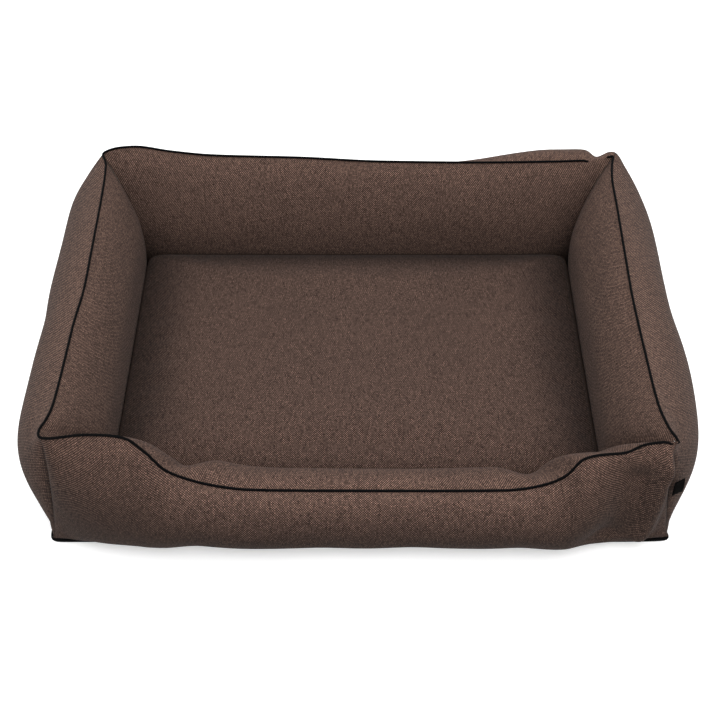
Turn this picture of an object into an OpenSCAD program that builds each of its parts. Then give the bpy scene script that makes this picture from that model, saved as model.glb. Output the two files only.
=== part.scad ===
// Pet bed with four stuffed bolster walls, a low front entry and a loose box cushion, in millimetres.
// The origin is the middle of the base, on the floor. The entry faces -Y and +Z is up.

/* [Walls] */
// Length of the crest along the front and back walls, corner to corner
crest_w = 880; // [700:10:1100]
// Length of the crest along the side walls, corner to corner
crest_d = 660; // [520:10:820]
// Height of the crest at the corners
wall_h = 225; // [190:5:280]
// Height of the crest across the entry
entry_h = 122; // [110:2:150]
// Half the width of the entry's low, level part
entry_flat = 170; // [120:5:220]
// Half the width of the entry where the crest is back at full height
entry_full = 335; // [290:5:360]
// How far the crest sags between two corners
crest_sag = 6; // [0:1:20]
// How far the crest bows inwards between two corners
crest_bow = 9; // [0:1:20]

/* [Base] */
// How far the base seam stands outside the crest on the left and right
foot_x = 14; // [6:1:24]
// How far the base seam stands outside the crest at the front and back
foot_y = 6; // [2:1:20]
// Thickness of the non-slip base fabric
base_t = 1.5; // [1:0.1:3]

/* [Fabric] */
// Thickness of the woven upholstery fabric
fabric_t = 2; // [1.2:0.1:3]
// Diameter of the piping
piping_d = 4; // [3:0.2:6]

/* [Cushion] */
// Width of the loose cushion
cushion_w = 738; // [560:2:740]
// Depth of the loose cushion
cushion_d = 512; // [380:2:514]
// Height of the loose cushion's boxing, seam to seam
cushion_h = 76; // [60:2:80]
// Thickness of the soft layer on top of the support foam
topper_t = 18; // [10:1:30]

/* [Zips] */
// Length of the zip in the back wall
cover_zip_l = 600; // [400:10:600]
// Length of the zip in the back of the cushion's boxing
cushion_zip_l = 520; // [300:10:600]

/* [Hidden] */

$fn = 48;
gap = 0.3; // clearance between neighbours that touch in the real bed
piping_r = piping_d / 2;
lining_t = 1.2;
base_corner_r = 16; // plan radius of the base's corners
seam_z = piping_d + gap; // height where the wall panels start, above the base piping
slices = 18; // stations along a level wall
entry_slices = 30; // stations along the front wall
steps = 8; // steps up one panel, from base seam to crest
cloth = "#58473f";
black = "#141416";

// Walls: [half length of the crest, distance of the crest from the middle, own foot, end foot, turn]
FRONT = [crest_w / 2, crest_d / 2, foot_y, foot_x, 0];
RIGHT = [crest_d / 2, crest_w / 2, foot_x, foot_y, 90];
BACK = [crest_w / 2, crest_d / 2, foot_y, foot_x, 180];
LEFT = [crest_d / 2, crest_w / 2, foot_x, foot_y, 270];

function bezier(p, t) =
    pow(1 - t, 3) * p[0] + 3 * t * pow(1 - t, 2) * p[1] + 3 * t * t * (1 - t) * p[2] + pow(t, 3) * p[3];
function mix(a, b, k) = a * (1 - k) + b * k;
function clamp01(x) = max(0, min(1, x));
function smooth(x) = let (c = clamp01(x)) c * c * (3 - 2 * c);

// How full the wall is at u, from 0 in the corners (u = -1 and 1) to 1 along the middle
function fullness(u) = 1 - pow(abs(u), 7);

// Outward reach of the outer panel and inward reach of the inner panel, base seam to crest
crest_half = fabric_t + 0.2; // half the width of the seam under the piping
function outer_mid(foot) = [foot, foot + 42, 106, crest_half];
function outer_corner(foot) = [foot - 5, foot + 2, 12, crest_half];
inner_mid = [-44, -68, -84, -crest_half];
inner_corner = [-44, -72, -60, -crest_half];
// The same for the front wall, whose underside is tucked in further
function front_mid(foot) = [foot, foot + 24, 104, crest_half];
rise_mid = [0, 0.17, 0.7, 1];
rise_corner = [0, 0.3, 0.7, 1];

// Height of the crest of a wall at u
function crest_z(wall, u) =
    let (sagged = wall_h - crest_sag * (1 - u * u),
         from_middle = abs(u) * crest_w / 2,
         up = (from_middle - entry_flat) / (entry_full - entry_flat))
    wall[4] == 0 ? mix(entry_h, sagged, smooth(pow(clamp01(up), 1.5))) : sagged;
// How far the crest stands inside the straight line between its corners, at u
function crest_in(wall, u) = wall[4] == 0 ? 0 : crest_bow * (1 - u * u);

function mid_profile(wall, out) =
    out ? (wall[4] == 0 ? front_mid(wall[2]) : outer_mid(wall[2])) : inner_mid;

// A point of a panel in the wall's own frame: X along the wall, -Y outwards.
// sink moves it into the stuffing, and t runs from the base seam to the crest.
function wall_point(wall, out, u, t, sink = 0) =
    let (k = fullness(u),
         sign = out ? 1 : -1,
         at_corner = out ? outer_corner(wall[2]) : inner_corner,
         at_end = out ? outer_corner(wall[3]) : inner_corner,
         reach = mix(bezier(at_corner, t), bezier(mid_profile(wall, out), t), k) - sign * sink,
         along = wall[0] + bezier(at_end, t) - sign * sink,
         top = crest_z(wall, u) - piping_r - gap - sink * 2,
         rise = mix(bezier(rise_corner, t), bezier(rise_mid, t), k))
    [u * along, -(wall[1] + reach - crest_in(wall, u) * t), seam_z + (top - seam_z) * rise];

// A solid through rings of points, closed with a fan at each end
module loft(rings) {
    n = len(rings[0]);
    last = len(rings) - 1;
    points = [for (ring = rings) each ring];
    sides = [for (i = [0:last - 1], j = [0:n - 1])
        let (a = i * n + j, b = i * n + (j + 1) % n, c = a + n, d = b + n)
        each [[a, b, d], [a, d, c]]];
    // the ring is two facing runs of points, so its cap is a strip between them
    half = n / 2;
    near = [for (j = [0:half - 2]) each [[j, n - 1 - j, j + 1], [j + 1, n - 1 - j, n - 2 - j]]];
    far = [for (tri = near) [for (k = [2:-1:0]) tri[k] + last * n]];
    polyhedron(points, concat(sides, near, far), convexity = 6);
}

function stations(wall) = wall[4] == 0 ? entry_slices : slices;
// Where station i is, from -1 to 1, closer together towards the corners
function station(wall, i) = let (v = -1 + 2 * i / stations(wall)) sign(v) * (1 - pow(1 - abs(v), 1.35));

// The panel of woven fabric between base seam and crest; start and finish cut it short
module wall_panel(wall, out, start = 0, finish = 1, zip = false) {
    function low(u) = zip && start > 0 ? zip_edge(u, start) : start;
    function high(u) = zip && finish < 1 ? zip_edge(u, finish) : finish;
    rings = [for (i = [0:stations(wall)])
        let (u = station(wall, i), lo = low(u), hi = high(u))
        concat(
            [for (j = [0:steps]) wall_point(wall, out, u, mix(lo, hi, j / steps))],
            [for (j = [steps:-1:0]) wall_point(wall, out, u, mix(lo, hi, j / steps), fabric_t)])];
    rotate([0, 0, wall[4]])
        if (out) loft(rings);
        else loft([for (ring = rings) [for (j = [len(ring) - 1:-1:0]) ring[j]]]);
}

// The stuffing of a wall, a closed body inside its two panels
fill_clear = 4.5; // depth of the stuffing's surface below the face of the fabric
back_fill_clear = 11; // the same at the back, where the zip needs room
fill_ends = 0.965; // share of the wall's length that the stuffing takes up
module wall_fill(wall, outer_clear = fill_clear) {
    rings = [for (i = [1:stations(wall) - 1])
        let (u = station(wall, i) * fill_ends)
        concat(
            [for (j = [0:steps]) wall_point(wall, true, u, j / steps, outer_clear)],
            [for (j = [steps:-1:0]) wall_point(wall, false, u, j / steps, fill_clear)])];
    rotate([0, 0, wall[4]]) loft(rings);
}

// Zip in the back wall, between the lower strip and the outer panel
zip_t = 0.25; // height of the zip between base seam and crest, as a share
zip_slot = 0.04; // half the height of the slot, as a share
zip_seam = 0.002; // half the height of the seam beyond the zip's ends, as a share
zip_fade = 0.12; // length over which the slot narrows to that seam, as a share
zip_reach = (cover_zip_l / 2 + 16) / (crest_w / 2);
// Height where the fabric is cut at u: open along the zip, closed beyond its ends
function zip_edge(u, edge) =
    mix(edge, zip_t + sign(edge - zip_t) * zip_seam, smooth((abs(u) - zip_reach) / zip_fade));

module rounded_plate(w, d, r, h) {
    linear_extrude(h) {
        square([w - 2 * r, d], center = true);
        square([w, d - 2 * r], center = true);
        for (x = [-1, 1], y = [-1, 1])
            translate([x * (w / 2 - r), y * (d / 2 - r)]) circle(r);
    }
}

// A closed ring of round piping lying flat, w by d between its centre lines
module piping_ring(w, d, r, z) {
    for (x = [-1, 1])
        translate([x * w / 2, 0, z]) rotate([90, 0, 0])
            cylinder(r = piping_r, h = d - 2 * r, center = true);
    for (y = [-1, 1])
        translate([0, y * d / 2, z]) rotate([0, 90, 0])
            cylinder(r = piping_r, h = w - 2 * r, center = true);
    for (q = [0:3]) {
        cx = (q == 0 || q == 3 ? 1 : -1) * (w / 2 - r);
        cy = (q < 2 ? 1 : -1) * (d / 2 - r);
        translate([cx, cy, z]) rotate([0, 0, q * 90])
            rotate_extrude(angle = 90) translate([r, 0]) circle(piping_r);
    }
}

base_w = crest_w + 2 * foot_x - 2; // between the centre lines of the base piping
base_d = crest_d + 2 * foot_y - 2;

module base_panel() {
    color(black)
        rounded_plate(base_w - piping_d - 2 * gap, base_d - piping_d - 2 * gap, base_corner_r - piping_r, base_t);
}
module floor_lining() {
    color("#3c322d") translate([0, 0, base_t])
        rounded_plate(crest_w - 90, crest_d - 90, base_corner_r, lining_t);
}
module base_piping() {
    color(black) piping_ring(base_w, base_d, base_corner_r, piping_r);
}

// One closed loop of piping along the four crests
module crest_piping() {
    sides = 8;
    route = [for (wall = [FRONT, RIGHT, BACK, LEFT], i = [0:stations(wall) - 1])
        let (u = station(wall, i),
             x = u * (wall[0] - piping_r),
             y = -(wall[1] - piping_r * pow(abs(u), 7) - crest_in(wall, u)),
             z = crest_z(wall, u),
             a = wall[4])
        [x * cos(a) - y * sin(a), x * sin(a) + y * cos(a), z]];
    n = len(route);
    function unit(v) = v / norm(v);
    points = [for (i = [0:n - 1])
        let (forward = unit(route[(i + 1) % n] - route[(i + n - 1) % n]),
             level = unit(cross([0, 0, 1], forward)),
             upward = cross(forward, level))
        for (k = [0:sides - 1])
            route[i] + piping_r * (cos(k * 360 / sides) * level + sin(k * 360 / sides) * upward)];
    faces = [for (i = [0:n - 1], k = [0:sides - 1])
        let (m = (i + 1) % n, l = (k + 1) % sides,
             a = i * sides + k, b = i * sides + l, c = m * sides + k, d = m * sides + l)
        each [[a, b, d], [a, d, c]]];
    color(black) polyhedron(points, faces, convexity = 8);
}

// Folded woven label: one edge is held in the front right corner's seam, the rest lies by the right wall
label_l = 20;
label_h = 28;
label_thick = 1.2;
label_at = 0.55; // how far up the seam its lower edge is, as a share
label_turn = 60; // degrees between the label and the crest of the right wall
module side_label() {
    color(black) rotate([0, 0, RIGHT[4]])
        translate(wall_point(RIGHT, true, -1, label_at)) rotate([0, 0, -label_turn])
            translate([0, -label_thick - 2, 0]) cube([label_l, label_thick, label_h]);
}

// Zips: X along the chain, Z across the tapes, +Y outwards
tape_t = 0.8;
tape_end = 8; // tape beyond the end of the teeth
tape_reach = 11; // from the middle of the chain to the tape's edge
chain_half = 2.9; // from the middle of the chain to the outer side of a row of teeth
chain_t = 2.6;
web_gap = 0.6; // half the gap between the two rows of teeth
stop_l = 4;
slider_l = 14;
slider_w = 9;
plate_t = 1.2;
flange_t = 1; // the plates' turned-in edges
bail_l = 10;
bail_w = 2.4;
bail_wire = 1;
pull_l = 26;

module zip_tapes(l) {
    color(black) for (s = [0, 180]) rotate([s, 0, 0])
        translate([-l / 2 - tape_end, -tape_t / 2, chain_half + 0.1])
            cube([l + 2 * tape_end, tape_t, tape_reach - chain_half]);
}
module zip_teeth(l) {
    color("#222226") for (s = [0, 180]) rotate([s, 0, 0])
        translate([-l / 2, -chain_t / 2, web_gap]) cube([l, chain_t, chain_half - web_gap]);
}
module zip_stops(l) {
    color("silver") for (s = [-1, 1])
        translate([s * (l / 2 + stop_l / 2 + 0.2), 0, 0])
            cube([stop_l, chain_t + 2 * gap, 2 * chain_half], center = true);
}
// Slider body: two plates joined by a thin web that runs between the rows of teeth
module zip_slider_body() {
    inside = chain_t / 2 + gap;
    for (s = [-1, 1])
        translate([0, s * (inside + plate_t / 2), 0]) cube([slider_l, plate_t, slider_w], center = true);
    cube([slider_l / 2, 2 * (inside + plate_t), web_gap], center = true);
    flange_h = 0.8;
    for (s = [-1, 1], z = [-1, 1])
        translate([0, s * (inside - flange_h / 2), z * (slider_w - flange_t) / 2])
            cube([slider_l, flange_h + 0.02, flange_t], center = true);
}
bail_y = chain_t / 2 + gap + plate_t;
hinge_y = bail_y + 1; // height of the pull's pin above the middle of the chain
module zip_bail() {
    leg_h = 2.6;
    for (s = [-1, 1])
        translate([s * (bail_l - 1.4 * bail_wire) / 2, bail_y + leg_h / 2 - 0.1, 0])
            cube([1.4 * bail_wire, leg_h, bail_w], center = true);
    translate([0, bail_y + leg_h - 0.1, 0]) cube([bail_l, bail_wire, bail_w], center = true);
}
module zip_slider() {
    color("silver") {
        zip_slider_body();
        zip_bail();
    }
}
// A slider with no pull, as cushion covers have: a paper clip through the eye works it
module tabless_slider() {
    color("silver") {
        zip_slider_body();
        translate([0, bail_y + 0.9, 0]) difference() {
            cube([bail_l / 2, 2, bail_w], center = true);
            cylinder(r = 0.6, h = bail_w + 2, center = true);
        }
    }
}
// The pull: a pin through the bail, two arms beside it and a tab with a hole
module zip_pull() {
    pin_r = 0.6;
    arm_in = 1.6;
    arm_w = 1;
    arm_l = 9;
    tab_w = 8;
    color("silver") translate([0, hinge_y, 0]) {
        cylinder(r = pin_r, h = 2 * (arm_in + arm_w), center = true);
        for (s = [-1, 1])
            translate([arm_l / 2, 0, s * (arm_in + arm_w / 2)])
                cube([arm_l, 2 * pin_r, arm_w], center = true);
        difference() {
            translate([arm_l - 1, -pin_r, -tab_w / 2]) cube([pull_l - arm_l, 2 * pin_r, tab_w]);
            translate([pull_l - tab_w / 2, 0, 0]) rotate([90, 0, 0])
                cylinder(r = 1.6, h = 4 * pin_r, center = true);
        }
    }
}

// The cover zip's place: behind the middle of the slot in the back wall
function back_point(t) = wall_point(BACK, true, 0.4, t);
cover_zip_at = back_point(zip_t);
cover_zip_lean = let (d = back_point(zip_t + 0.05) - back_point(zip_t - 0.05)) atan2(-d[1], d[2]);
zip_depth = 4.8; // from the fabric's face to the middle of the chain
module at_cover_zip() {
    translate([0, -cover_zip_at[1], cover_zip_at[2]])
        rotate([-cover_zip_lean, 0, 0]) translate([0, -zip_depth, 0]) children();
}
zip_closed_x = cover_zip_l / 2 - slider_l / 2;

// Cushion: boxed, with a seam along both edges of the boxing
cushion_z = base_t + lining_t + 1; // underside of the cushion
boxing_z = cushion_z + fabric_t + gap;
cushion_r = 16; // plan radius of the cushion's corners
boxing_h = cushion_h - 2 * (fabric_t + gap);
slot_h = 12; // height of the opening for the zip
cushion_zip_z = boxing_z + boxing_h * 0.42;
cushion_zip_depth = 3; // from the boxing's face to the middle of the chain
foam_inset = 8; // room for the zip between the boxing and the foam

panel_w = cushion_w - 2 * (piping_d + gap);
panel_d = cushion_d - 2 * (piping_d + gap);

module cushion_bottom_panel() {
    color("#3c322d") translate([0, 0, cushion_z])
        rounded_plate(panel_w, panel_d, cushion_r - piping_d - gap, fabric_t);
}
module cushion_top_panel() {
    color(cloth) translate([0, 0, boxing_z + boxing_h + gap])
        rounded_plate(panel_w, panel_d, cushion_r - piping_d - gap, fabric_t);
}
module cushion_boxing() {
    color(cloth) difference() {
        translate([0, 0, boxing_z]) rounded_plate(cushion_w, cushion_d, cushion_r, boxing_h);
        translate([0, 0, boxing_z - 1])
            rounded_plate(cushion_w - 2 * fabric_t, cushion_d - 2 * fabric_t, cushion_r - fabric_t, boxing_h + 2);
        translate([0, cushion_d / 2, cushion_zip_z])
            cube([cushion_zip_l + 12, 8 * fabric_t, slot_h], center = true);
    }
}
module cushion_piping() {
    color(cloth) for (z = [cushion_z + fabric_t / 2, boxing_z + boxing_h + gap + fabric_t / 2])
        intersection() {
            piping_ring(cushion_w - piping_d, cushion_d - piping_d, cushion_r - piping_r, z);
            translate([0, 0, z - fabric_t / 2]) rounded_plate(cushion_w, cushion_d, cushion_r, fabric_t);
        }
}
module cushion_support_foam() {
    color("#e8e0c8") translate([0, 0, boxing_z])
        rounded_plate(cushion_w - 2 * foam_inset, cushion_d - 2 * foam_inset,
                      cushion_r - foam_inset, boxing_h - topper_t - gap);
}
module cushion_topper() {
    color("#f2efe6") translate([0, 0, boxing_z + boxing_h - topper_t])
        rounded_plate(cushion_w - 2 * foam_inset, cushion_d - 2 * foam_inset, cushion_r - foam_inset, topper_t);
}
module at_cushion_zip() {
    translate([0, cushion_d / 2 - cushion_zip_depth, cushion_zip_z]) children();
}
cushion_closed_x = cushion_zip_l / 2 - slider_l / 2;

base_panel();
floor_lining();
base_piping();
color(cloth) wall_panel(FRONT, true);  // front_outer_panel
color(cloth) wall_panel(FRONT, false);  // front_inner_panel
color("white") wall_fill(FRONT);  // front_bolster_fill
color(cloth) wall_panel(BACK, true, start = zip_t + zip_slot, zip = true);  // back_outer_panel
color(cloth) wall_panel(BACK, true, finish = zip_t - zip_slot, zip = true);  // back_lower_strip
color(cloth) wall_panel(BACK, false);  // back_inner_panel
color("white") wall_fill(BACK, back_fill_clear);  // back_bolster_fill
color(cloth) wall_panel(LEFT, true);  // left_outer_panel
color(cloth) wall_panel(LEFT, false);  // left_inner_panel
color("white") wall_fill(LEFT);  // left_bolster_fill
color(cloth) wall_panel(RIGHT, true);  // right_outer_panel
color(cloth) wall_panel(RIGHT, false);  // right_inner_panel
color("white") wall_fill(RIGHT);  // right_bolster_fill
crest_piping();
side_label();
at_cover_zip() zip_tapes(cover_zip_l);  // cover_zip_tapes
at_cover_zip() zip_teeth(cover_zip_l);  // cover_zip_teeth
at_cover_zip() zip_stops(cover_zip_l);  // cover_zip_stops
at_cover_zip() translate([zip_closed_x, 0, 0]) zip_slider();  // cover_zip_slider
at_cover_zip() translate([zip_closed_x, 0, 0]) zip_pull();  // cover_zip_pull
cushion_top_panel();
cushion_boxing();
cushion_bottom_panel();
cushion_piping();
cushion_support_foam();
cushion_topper();
at_cushion_zip() zip_tapes(cushion_zip_l);  // cushion_zip_tapes
at_cushion_zip() zip_teeth(cushion_zip_l);  // cushion_zip_teeth
at_cushion_zip() zip_stops(cushion_zip_l);  // cushion_zip_stops
at_cushion_zip() translate([cushion_closed_x, 0, 0]) tabless_slider();  // cushion_zip_slider
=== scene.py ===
"""Looks of the bolster pet bed: stuffed piped walls, low entry, loose box cushion, zips and label."""
import math

import bmesh
import bpy
import numpy as np
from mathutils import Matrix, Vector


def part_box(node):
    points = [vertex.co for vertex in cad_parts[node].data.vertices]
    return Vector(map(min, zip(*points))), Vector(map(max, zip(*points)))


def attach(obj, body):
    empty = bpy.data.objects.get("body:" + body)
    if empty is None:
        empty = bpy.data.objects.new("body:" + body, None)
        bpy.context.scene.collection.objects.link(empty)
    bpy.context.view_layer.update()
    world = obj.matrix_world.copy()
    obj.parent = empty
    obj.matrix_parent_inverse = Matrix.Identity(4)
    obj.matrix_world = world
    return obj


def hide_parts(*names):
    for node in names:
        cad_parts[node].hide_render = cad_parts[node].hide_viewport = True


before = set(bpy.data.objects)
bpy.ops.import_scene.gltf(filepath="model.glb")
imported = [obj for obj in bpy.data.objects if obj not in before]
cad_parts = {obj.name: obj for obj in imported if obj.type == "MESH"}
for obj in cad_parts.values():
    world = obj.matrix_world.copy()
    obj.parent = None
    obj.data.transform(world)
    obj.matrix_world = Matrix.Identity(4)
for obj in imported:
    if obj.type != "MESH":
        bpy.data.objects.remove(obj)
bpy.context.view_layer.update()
MM = 0.001

# ---------------- sizes taken from the frame
HALF_W, HALF_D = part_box("crest_piping")[1][:2]    # half the width and depth of the crests' rectangle
SEAM_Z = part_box("base_piping")[1][2]              # where the wall panels start
CUSHION_HALF = [v - 0.5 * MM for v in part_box("cushion_boxing")[1][:2]]
CUSHION_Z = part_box("cushion_bottom_panel")[0][2]
CUSHION_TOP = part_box("cushion_top_panel")[1][2]
FABRIC = 1.6 * MM
CREST_PIPING_R = 2.0 * MM
BASE_PIPING_R = 2.6 * MM
CUSHION_PIPING_R = 1.5 * MM

# ---------------- small maths


def bezier(points, t):
    """Bezier curve through any number of control points; t may be an array."""
    rows = [np.asarray(p, float) + 0 * t for p in points]
    while len(rows) > 1:
        rows = [a + (b - a) * t for a, b in zip(rows, rows[1:])]
    return rows[0]


def smooth(x):
    c = np.clip(x, 0, 1)
    return c * c * (3 - 2 * c)


def bump(x, middle, width):
    return np.exp(-(((x - middle) / width) ** 2))


def through(xs, ys, x):
    """Smooth curve through the points (xs, ys) that never overshoots between two of them."""
    xs, ys = np.asarray(xs, float), np.asarray(ys, float)
    steps = np.diff(xs)
    slopes = np.diff(ys) / steps
    tangent = np.zeros_like(xs)
    tangent[0], tangent[-1] = slopes[0], slopes[-1]
    same = slopes[:-1] * slopes[1:] > 0
    w1, w2 = 2 * steps[1:] + steps[:-1], steps[1:] + 2 * steps[:-1]
    with np.errstate(divide="ignore", invalid="ignore"):
        inner = (w1 + w2) / (w1 / slopes[:-1] + w2 / slopes[1:])
    tangent[1:-1] = np.where(same, inner, 0)
    i = np.clip(np.searchsorted(xs, x) - 1, 0, len(steps) - 1)
    h = steps[i]
    s = np.clip((x - xs[i]) / h, 0, 1)
    return (
        (1 + 2 * s) * (1 - s) ** 2 * ys[i]
        + s * (1 - s) ** 2 * h * tangent[i]
        + s * s * (3 - 2 * s) * ys[i + 1]
        - s * s * (1 - s) * h * tangent[i + 1]
    )


# ---------------- mesh helpers


def mesh_object(name, points, faces, uvs=None, smooth_shade=True):
    """A mesh object. uvs, if given, holds one (u, v) in metres for each point."""
    mesh = bpy.data.meshes.new(name)
    mesh.from_pydata([tuple(p) for p in points], [], faces)
    if uvs is not None:
        layer = mesh.uv_layers.new(name="grain")
        for loop in mesh.loops:
            layer.data[loop.index].uv = uvs[loop.vertex_index]
    mesh.polygons.foreach_set("use_smooth", [smooth_shade] * len(mesh.polygons))
    mesh.update()
    obj = bpy.data.objects.new(name, mesh)
    bpy.context.scene.collection.objects.link(obj)
    return obj


def place(obj, body, material, replaced=()):
    """Gives a finished piece its material and body, and hides the CAD nodes that it stands for."""
    obj.data.materials.clear()
    obj.data.materials.append(material)
    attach(obj, body)
    if replaced:
        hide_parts(*replaced)
    return obj


def add_thickness(obj, thickness):
    """Cloth of real thickness, its outer face where the mesh was, smoothed by one subdivision."""
    solid = obj.modifiers.new("thickness", "SOLIDIFY")
    solid.thickness = thickness
    solid.offset = -1
    subdivision = obj.modifiers.new("smooth", "SUBSURF")
    subdivision.levels = subdivision.render_levels = 1


def lengths_along(route):
    """The distance of each point of a route from its start."""
    steps = np.linalg.norm(np.diff(route, axis=0), axis=1)
    return np.concatenate([[0], np.cumsum(steps)])


def at_lengths(values, length, wanted):
    """Rows of three values, given at the lengths of a line, read at other lengths of it."""
    return np.stack([np.interp(wanted, length, values[:, k]) for k in range(3)], axis=1)


def ring_faces(rings, sides, first=0, closed=False):
    """Quads between rings of points, with a face over each end unless the rings close on themselves."""
    faces = []
    for i in range(rings if closed else rings - 1):
        here, onward = first + i * sides, first + (i + 1) % rings * sides
        for k in range(sides):
            after = (k + 1) % sides
            faces.append((here + k, onward + k, onward + after, here + after))
    if not closed:
        faces.append(tuple(first + k for k in range(sides)))
        faces.append(tuple(first + (rings - 1) * sides + k for k in reversed(range(sides))))
    return faces


def turned(faces):
    """The same faces seen from the other side."""
    return [face[::-1] for face in faces]


def tube(name, route, radius, sides=10, closed=False):
    """A round cord swept along a route of points, with UVs along and round it."""
    route = np.asarray(route, float)
    n = len(route)
    if closed:
        tangents = np.roll(route, -1, 0) - np.roll(route, 1, 0)
    else:
        tangents = np.gradient(route, axis=0)
    tangents /= np.linalg.norm(tangents, axis=1)[:, None]
    length = lengths_along(route)
    side = np.cross(tangents, [0, 0, 1.0])
    side /= np.linalg.norm(side, axis=1)[:, None] + 1e-9
    up = np.cross(side, tangents)
    angle = np.linspace(0, 2 * math.pi, sides, endpoint=False)
    rings = [
        route[i] + radius * (np.cos(a) * side[i] + np.sin(a) * up[i])
        for i in range(n)
        for a in angle
    ]
    uvs = [(length[i], radius * a) for i in range(n) for a in angle]
    return mesh_object(name, rings, ring_faces(n, sides, closed=closed), uvs)


# ---------------- materials


class Graph:
    """A short way to write a material's nodes."""

    def __init__(self, name, **constants):
        self.material = bpy.data.materials.new(name)
        self.material.use_nodes = True
        self.tree = self.material.node_tree
        self.shader = self.tree.nodes["Principled BSDF"]
        for socket, value in constants.items():
            self.shader.inputs[socket.replace("_", " ")].default_value = value

    def node(self, kind, settings=(), **inputs):
        made = self.tree.nodes.new(kind)
        for key, value in dict(settings).items():
            setattr(made, key, value)
        for key, value in inputs.items():
            self.feed(made.inputs[key.replace("_", " ")], value)
        return made

    def feed(self, socket, value):
        if isinstance(value, bpy.types.NodeSocket):
            self.tree.links.new(value, socket)
        else:
            socket.default_value = value

    def math(self, operation, a, b=0.0, c=0.0):
        made = self.tree.nodes.new("ShaderNodeMath")
        made.operation = operation
        for socket, value in zip(made.inputs, (a, b, c)):
            self.feed(socket, value)
        return made.outputs[0]

    def times(self, a, b):
        return self.math("MULTIPLY", a, b)

    def linear(self, value, gain, offset):
        return self.math("MULTIPLY_ADD", value, gain, offset)

    def mix(self, factor, a, b, blend="MIX"):
        made = self.tree.nodes.new("ShaderNodeMix")
        made.data_type = "RGBA"
        made.blend_type = blend
        self.feed(made.inputs["Factor"], factor)
        for socket, value in ((made.inputs["A"], a), (made.inputs["B"], b)):
            self.feed(socket, (*value, 1) if isinstance(value, tuple) else value)
        return made.outputs["Result"]

    def grey(self, value):
        """A number as a grey colour socket."""
        return self.node("ShaderNodeCombineColor", Red=value, Green=value, Blue=value).outputs[0]

    def combine(self, x, y, z=0.0):
        return self.node("ShaderNodeCombineXYZ", X=x, Y=y, Z=z).outputs[0]

    def split(self, vector):
        out = self.node("ShaderNodeSeparateXYZ", Vector=vector).outputs
        return out[0], out[1], out[2]

    def noise(self, vector, scale, detail=2.0, rough=0.5):
        made = self.node("ShaderNodeTexNoise", Vector=vector, Scale=scale, Detail=detail, Roughness=rough)
        return made.outputs[0]

    def grain(self):
        """The cloth's own coordinates in metres, along and up the weave."""
        return self.node("ShaderNodeUVMap", {"uv_map": "grain"}).outputs[0]

    def place(self):
        return self.node("ShaderNodeTexCoord").outputs["Object"]

    def finish(self, colour, roughness=None, height=None, distance=0.0003, strength=1.0):
        self.feed(self.shader.inputs["Base Color"], colour)
        if roughness is not None:
            self.feed(self.shader.inputs["Roughness"], roughness)
        if height is not None:
            made = self.node("ShaderNodeBump", Height=height, Distance=distance, Strength=strength)
            self.feed(self.shader.inputs["Normal"], made.outputs[0])
        return self.material


def weave(g, pitch):
    """Plain weave. Gives which yarn is on top, how light this stretch of it is, and its height."""
    base = g.grain()
    drift = g.noise(base, 45.0, 1.0)
    x, y, _ = g.split(base)
    x = g.linear(drift, 0.6, g.times(x, 1 / pitch))
    y = g.linear(drift, 0.6, g.times(y, 1 / pitch))
    column, row = g.math("FLOOR", x), g.math("FLOOR", y)
    fx, fy = g.math("FRACT", x), g.math("FRACT", y)
    weft_up = g.math("FLOORED_MODULO", g.math("ADD", column, row), 2.0)
    across = g.linear(weft_up, g.math("SUBTRACT", fy, fx), fx)
    along = g.linear(weft_up, g.math("SUBTRACT", fx, fy), fy)
    ridge = g.math("SINE", g.times(across, math.pi))
    arch = g.math("SINE", g.times(along, math.pi))
    height = g.times(g.math("POWER", ridge, 0.6), g.linear(arch, 0.6, 0.4))
    warp_place = g.combine(g.times(column, 1.7), g.times(y, 0.17))
    weft_place = g.combine(g.times(x, 0.17), g.linear(row, 1.7, 90.0))
    warp_slub, weft_slub = g.noise(warp_place, 1.0, 1.0), g.noise(weft_place, 1.0, 1.0)
    slub = g.linear(weft_up, g.math("SUBTRACT", weft_slub, warp_slub), warp_slub)
    dots = g.node("ShaderNodeTexWhiteNoise", Vector=g.combine(column, row)).outputs["Value"]
    uneven = g.linear(slub, 1.7, g.linear(dots, 0.6, -0.15))
    flecks = g.linear(g.noise(base, 330.0, 3.0, 0.7), 2.4, -0.2)
    return weft_up, g.times(uneven, flecks), height


def upholstery(name, light, dark, pitch=1.75 * MM):
    """Two-tone woven cloth: uneven light and dark yarns and a fine fuzz, with painted shade between the
    yarns. A point attribute makes it lighter where it is rubbed at the crests and darker with painted shade
    low on the walls' inner sides, in their corners, along the corner seams, across the middle of the front's
    outer side and over the cushion."""
    g = Graph(name, Roughness=0.95, Sheen_Weight=0.02, Sheen_Roughness=0.5, Specular_IOR_Level=0.15)
    weft_up, uneven, height = weave(g, pitch)
    colour = g.mix(weft_up, light, dark)
    # Painted shade: darker where the weave is low, between the yarns.
    depth = g.linear(height, 1.1, 0.2)
    patches = g.linear(g.noise(g.place(), 9.0, 3.0), 0.2, 0.9)
    # The point attribute: above zero the cloth is rubbed lighter, below zero it carries painted shade.
    tone_marks = g.node("ShaderNodeAttribute", {"attribute_name": "rub_and_shade"}).outputs["Fac"]
    rub_and_shade = g.linear(tone_marks, 0.22, 1.0)
    shade = g.times(g.times(uneven, depth), g.times(patches, rub_and_shade))
    colour = g.mix(1.0, colour, g.grey(shade), "MULTIPLY")
    fuzz = g.noise(g.grain(), 2600.0, 2.0)
    relief = g.linear(fuzz, 0.35, height)
    return g.finish(colour, height=relief, distance=0.3 * MM, strength=0.6)


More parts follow.
